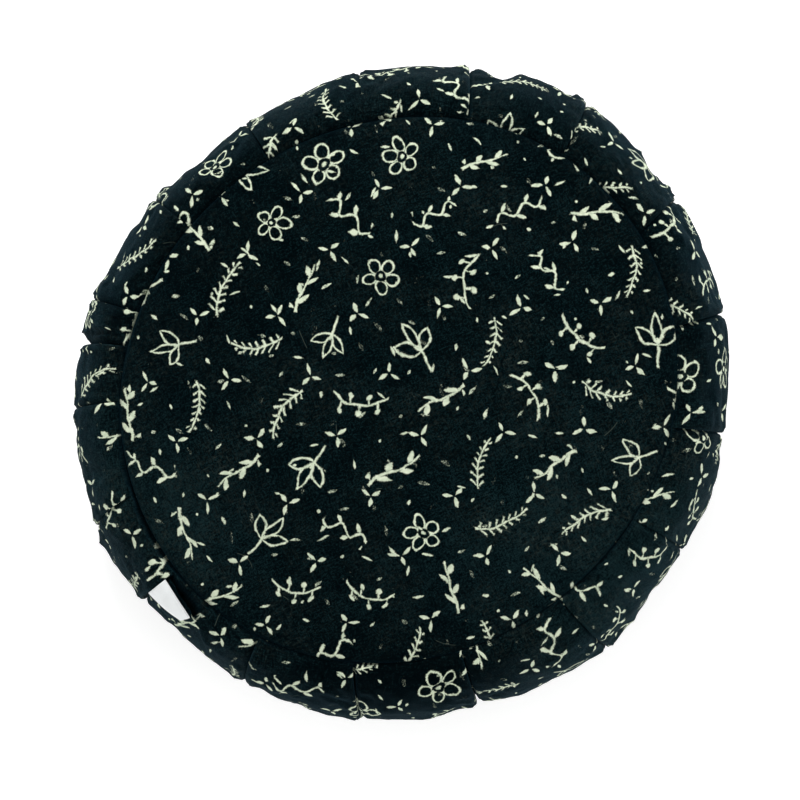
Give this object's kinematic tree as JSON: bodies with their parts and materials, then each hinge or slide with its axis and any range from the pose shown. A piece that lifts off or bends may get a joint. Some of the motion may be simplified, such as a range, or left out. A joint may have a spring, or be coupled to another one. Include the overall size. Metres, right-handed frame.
{
  "type": "zafu meditation cushion",
  "caption": "Round, firmly filled meditation cushion: two round panels on a tall side strip laid in knife pleats, with a lapped end, a short slit and a blank ribbon label",
  "frame": {"origin": "middle of the outline seen from above, on the surface the cushion lies on", "axes": "+Z up through the crown of the top panel; +Y is up in the picture and +X is to its right"},
  "size_m": [0.3592, 0.36, 0.1495],
  "materials": {
    "printed_cotton": "matte black plain-weave cotton with an ivory pigment print",
    "label_ribbon": "white woven satin-edge ribbon, blank"
  },
  "bodies": {
    "root": {"side_gusset": "printed_cotton", "top_panel": "printed_cotton", "bottom_panel": "printed_cotton", "side_label": "label_ribbon"}
  },
  "joints": []
}
